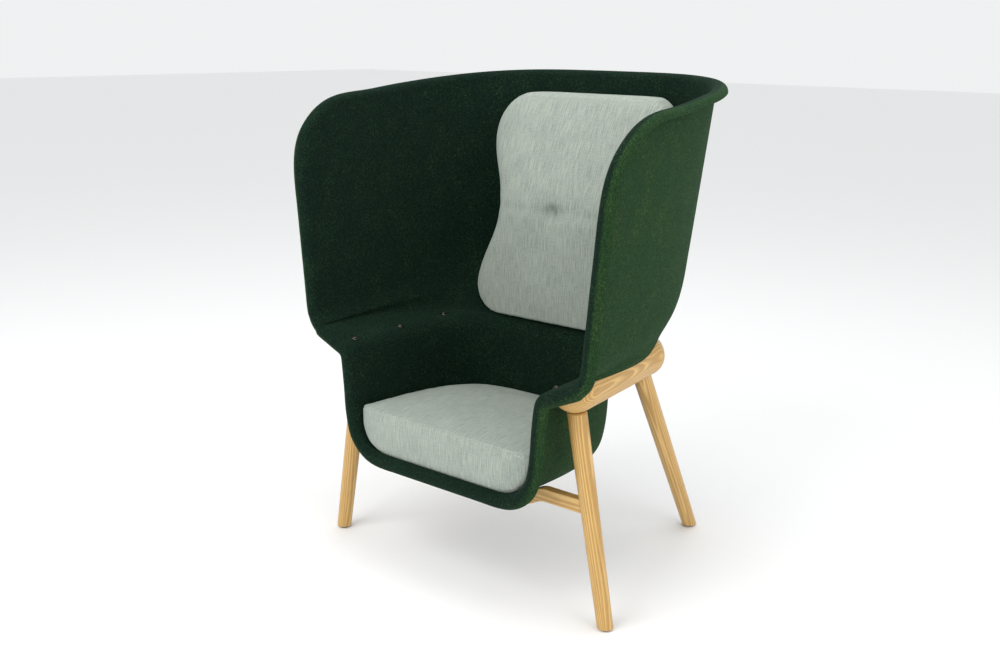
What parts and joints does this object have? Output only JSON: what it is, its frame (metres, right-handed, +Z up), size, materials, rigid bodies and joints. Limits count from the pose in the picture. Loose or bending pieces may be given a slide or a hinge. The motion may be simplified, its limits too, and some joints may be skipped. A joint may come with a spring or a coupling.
{
  "type": "high back lounge chair",
  "caption": "Lounge chair with a one-piece rolled-edge felt shell that wraps round the sitter, on ash legs and rails, with loose seat and back cushions.",
  "frame": {"origin": "centre of the bounding box at floor level, under the middle of the chair", "axes": "+Z up, -Y to the open front that the sitter faces, +X to the right of the picture; the chair is symmetric about the plane X = 0"},
  "size_m": [1.0212, 0.8065, 1.3144],
  "materials": {
    "felt": "matte pressed felt, dark green melange",
    "ash": "clear matt lacquer",
    "steel": "dark bronze coated",
    "zinc": "zinc plated",
    "cover": "woven pale grey green upholstery",
    "foam": "open cell polyurethane foam",
    "glide": "matt",
    "hook_loop": "woven hook and loop tape",
    "thread": "waxed twine"
  },
  "bodies": {
    "root": {"felt_shell": "felt", "side_rail_right": "ash", "side_rail_left": "ash", "front_leg_right": "ash", "front_leg_left": "ash", "rear_leg_right": "ash", "rear_leg_left": "ash", "front_stretcher": "ash", "stretcher_dowels": "ash", "foot_glides": "glide", "glide_nails": "zinc", "shell_screws_right": "steel", "shell_screws_left": "steel", "cup_washers_right": "steel", "cup_washers_left": "steel", "rail_inserts_right": "zinc", "rail_inserts_left": "zinc", "seat_cushion_cover": "cover", "seat_cushion_foam": "foam", "back_cushion_cover": "cover", "back_cushion_foam": "foam", "tuft_thread": "thread", "tuft_button": "cover", "back_hook_patches": "hook_loop", "back_loop_patches": "hook_loop"}
  },
  "joints": []
}
